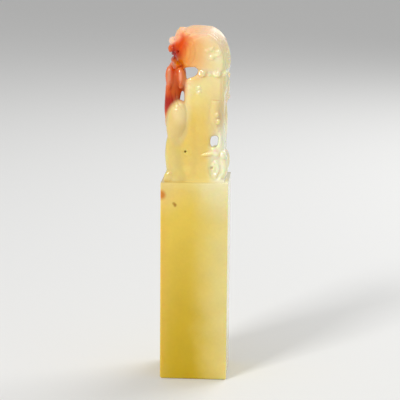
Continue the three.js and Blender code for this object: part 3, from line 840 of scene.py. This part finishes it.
lion = join_all(masses, ROUGH_GRAIN)
for opening in OPENINGS:
    cut_opening(lion, *opening)
finish_with(lion, "REMESH", mode="VOXEL", voxel_size=ROUGH_GRAIN)
finish_with(lion, "SMOOTH", factor=RUB, iterations=ROUGH_RUBS)
details.insert(0, lion)
lion = join_all(details, STONE_GRAIN)
lion.name = "carved_lion"
drills = []
for x, up in DRILLED:
    for side in SIDES:
        start_piece()
        bpy.ops.mesh.primitive_cylinder_add(
            radius=DRILL_WIDTH / 2 * MM,
            depth=DRILL_LENGTH * MM,
            vertices=DRILL_SIDES,
            location=at(x, side * (DRILL_END + DRILL_LENGTH / 2), up),
            rotation=(math.pi / 2, 0.0, 0.0),
        )
        settle(bpy.context.object)
        drills.append(bpy.context.object)
start_piece()
for drill in drills:
    drill.select_set(True)
bpy.context.view_layer.objects.active = drills[0]
bpy.ops.object.join()
cut_with(lion, drills[0])
finish_with(lion, "SMOOTH", factor=RUB, iterations=STONE_RUBS)
engrave(lion, grooves)
faces = sum(len(face.vertices) - 2 for face in lion.data.polygons)
if faces > SKIN_FACES:
    finish_with(lion, "DECIMATE", ratio=SKIN_FACES / faces)
# Nothing stands out of the block, and the foot is cut level just inside the top of the shaft.
spots = np.empty(len(lion.data.vertices) * 3)
lion.data.vertices.foreach_get("co", spots)
lion.data.vertices.foreach_set("co", np.clip(spots.reshape(-1, 3), *BLOCK).ravel())
start_piece()
lion.select_set(True)
bpy.context.view_layer.objects.active = lion
bpy.ops.object.mode_set(mode="EDIT")
bpy.ops.mesh.select_all(action="SELECT")
bpy.ops.mesh.bisect(
    plane_co=at(0, 0, FOOT),
    plane_no=(0.0, 0.0, 1.0),
    clear_inner=True,
    use_fill=True,
    threshold=TOUCHING,
)
bpy.ops.object.mode_set(mode="OBJECT")
bpy.ops.object.shade_smooth()

# The lion's colours, laid over the block's: cream and honey on the body and behind, orange on the
# cheeks, and red on face and forelegs, where the red skin of the block is left standing. Some pale
# zones among them are painted highlights, on the curls, paws, nose and chest, and the tail band and the
# back of the mane are partly painted light and shade.
LION_ZONES = (
    (paint(248, 222, 130), (0.5, 0.0, 62.0), (7.0, 14.0, 5.0), 0.7, 3.0, 0.9),  # foot
    (paint(240, 210, 118), (0.5, 0.0, 74.0), (6.0, 14.0, 12.0), 0.6, 3.0, 1.0),  # thigh
    (paint(246, 226, 156), (2.5, 0.0, 88.5), (10.0, 14.0, 7.0), 0.6, 3.0, 1.0),  # shoulder
    (paint(234, 214, 164), (7.4, 0.0, 79.4), (4.0, 14.0, 8.4), 0.5, 1.5, 1.0),  # lower back
    # Painted highlight: a pale patch on the upper corner of the chest, before the shoulder.
    (paint(250, 240, 198), (-2.6, 0.0, 89.0), (1.7, 14.0, 3.6), 0.7, 1.0, 0.7),  # before the shoulder
    (paint(250, 242, 208), (8.5, 0.0, 67.0), (4.9, 14.0, 10.6), 0.3, 1.0, 1.0),  # tail scroll
    # Painted light: the tail band is made paler to make up for the light that the thin band, with the
    # hollow behind it, lets through.
    (paint(255, 250, 220), (8.2, 0.0, 73.4), (1.8, 14.0, 4.5), 0.6, 1.0, 0.8),  # tail band
    (paint(255, 234, 184), (5.5, 0.0, 98.0), (9.5, 14.0, 10.0), 0.6, 3.0, 1.0),  # mane
    (paint(255, 222, 200), (1.5, 0.0, 104.8), (6.5, 14.0, 3.0), 0.7, 1.0, 0.9),  # mane, top
    # Partly painted light: the pale cream of the mane's back, made paler still against the shade on its
    # curve.
    (paint(255, 234, 188), (9.0, 0.0, 94.0), (2.8, 14.0, 12.0), 0.6, 1.0, 0.8),  # mane, back
    # Painted shade: a darker patch that tones down the lamps' highlight on the top back of the mane.
    (paint(228, 208, 180), (7.4, 0.0, 103.0), (2.6, 14.0, 3.2), 0.6, 1.0, 0.8),  # mane, back of the top
    (paint(240, 172, 94), (-3.2, 0.0, 98.0), (7.0, 14.0, 7.5), 0.6, 3.0, 1.0),  # cheek
    (paint(234, 134, 52), (-6.0, 0.0, 98.0), (3.8, 14.0, 8.5), 0.6, 2.0, 1.0),  # face
    (paint(230, 124, 50), (-2.4, 0.0, 101.8), (2.6, 14.0, 2.2), 0.7, 1.0, 0.5),  # temple
    (paint(222, 62, 0), (-9.8, 0.0, 95.0), (4.8, 14.0, 20.0), 0.35, 2.0, 1.0),  # red front
    (paint(224, 78, 0), (-4.7, 0.0, 101.0), (1.9, 14.0, 3.6), 0.6, 1.5, 1.0),  # eye
    (paint(255, 196, 154), (-2.4, 0.0, 105.2), (5.6, 14.0, 1.8), 0.7, 1.0, 0.9),  # brow tufts
    (paint(255, 190, 150), (-6.0, 0.0, 103.8), (1.5, 14.0, 2.2), 0.5, 0.8, 0.9),  # brow, front
    (paint(230, 140, 0), (-5.0, 0.0, 95.6), (2.6, 14.0, 1.8), 0.6, 1.0, 0.9),  # chin
    (paint(160, 10, 0), (-6.2, 0.0, 98.0), (2.0, 9.0, 2.4), 0.6, 1.0, 1.0),  # mouth
    (paint(226, 108, 28), (-8.5, 0.0, 99.4), (1.3, 9.0, 1.5), 0.6, 0.8, 0.8),  # upper lip
    # The next three zones are painted highlights: pale spots on the locks, on the curls of the
    # shoulders and on the curls of the mane.
    (paint(255, 246, 222), (4.4, 0.0, 93.1), (4.6, 14.0, 1.0), 0.6, 1.0, 0.3),  # locks
    (paint(255, 246, 222), (0.9, 0.0, 87.9), (1.1, 14.0, 1.3), 0.6, 0.5, 0.3),  # shoulder curls
    (paint(255, 240, 214), (5.6, 0.0, 98.2), (2.6, 14.0, 2.0), 0.6, 0.8, 0.25),  # curls on the mane
    # Partly painted highlight: the nose's pale pink, lightened further in the way a highlight would
    # lighten it.
    (paint(255, 204, 172), (-8.0, 0.0, 102.2), (1.9, 9.0, 1.7), 0.4, 0.8, 1.0),  # nose
    (paint(200, 84, 0), (-6.2, 0.0, 87.0), (4.6, 9.0, 6.0), 0.4, 1.0, 0.95),  # foreleg
    (paint(206, 66, 0), (-4.6, 0.0, 90.0), (1.8, 10.0, 6.0), 0.6, 1.0, 0.9),  # foreleg, behind
    # Painted highlight: a pale streak along the edge of the paw.
    (paint(255, 190, 156), (-4.5, 0.0, 91.8), (0.5, 10.0, 1.8), 0.6, 0.6, 0.9),  # edge of the paw
    (paint(226, 110, 50), (-8.7, -7.0, 90.0), (0.9, 14.0, 7.0), 0.5, 1.0, 0.8),  # foreleg, front edge
    # Partly painted highlight: the pale pink on the forepaw's front toes, lightened further in the way
    # a highlight would lighten it.
    (paint(218, 150, 110), (-7.8, 0.0, 92.0), (0.7, 14.0, 3.2), 0.5, 0.6, 0.9),  # between the toes
    (paint(176, 26, 0), (-7.6, 0.0, 83.4), (4.2, 14.0, 3.0), 0.5, 1.2, 1.0),  # elbow
    (paint(226, 206, 132), (-6.6, 0.0, 66.0), (3.4, 14.0, 12.0), 0.5, 2.0, 0.9),  # shin and hind paw
    (paint(228, 204, 134), (-5.3, 0.0, 77.4), (4.0, 14.0, 7.8), 0.1, 0.4, 1.0),  # knee
    (paint(242, 222, 164), (-4.0, -9.0, 82.0), (2.6, 3.0, 4.0), 0.5, 1.0, 1.0),  # knee, above
)
lion.data.materials.clear()
lion.data.materials.append(soapstone("carved_soapstone", BLOCK_ZONES + LION_ZONES))
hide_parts(*[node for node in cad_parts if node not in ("shaft", "printing_face")])
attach(lion, "root")
